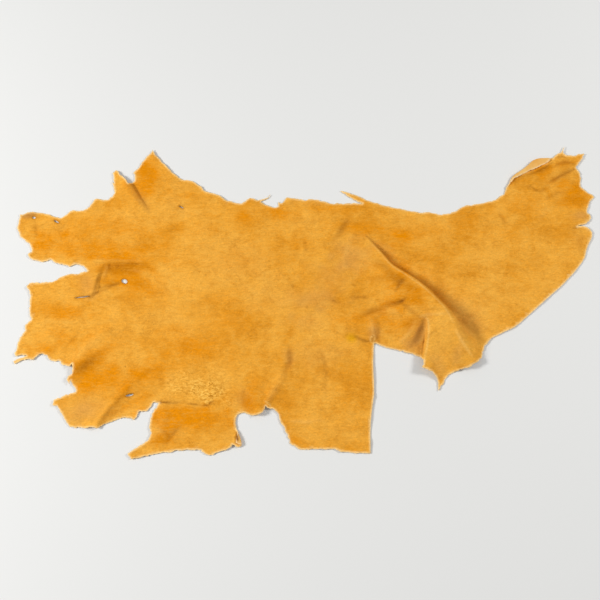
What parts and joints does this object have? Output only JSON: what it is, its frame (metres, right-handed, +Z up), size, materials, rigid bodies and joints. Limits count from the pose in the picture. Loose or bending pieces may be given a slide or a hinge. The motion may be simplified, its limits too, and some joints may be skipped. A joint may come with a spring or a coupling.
{
  "type": "leather hide",
  "caption": "Half of a large tanned hide lying flat, with ragged shanks, a square cut, small holes and one long standing fold.",
  "frame": {"origin": "centre of the bounding box, on the surface that the hide lies on", "axes": "+X along the hide's long side, towards its narrow hind end; +Y towards the long far edge; +Z up from the surface"},
  "size_m": [1.97, 1.0962, 0.0591],
  "materials": {
    "leather": "napped suede, matte, golden tan with darker mottles and pale cut edges"
  },
  "bodies": {
    "root": {"hide": "leather"}
  },
  "joints": []
}
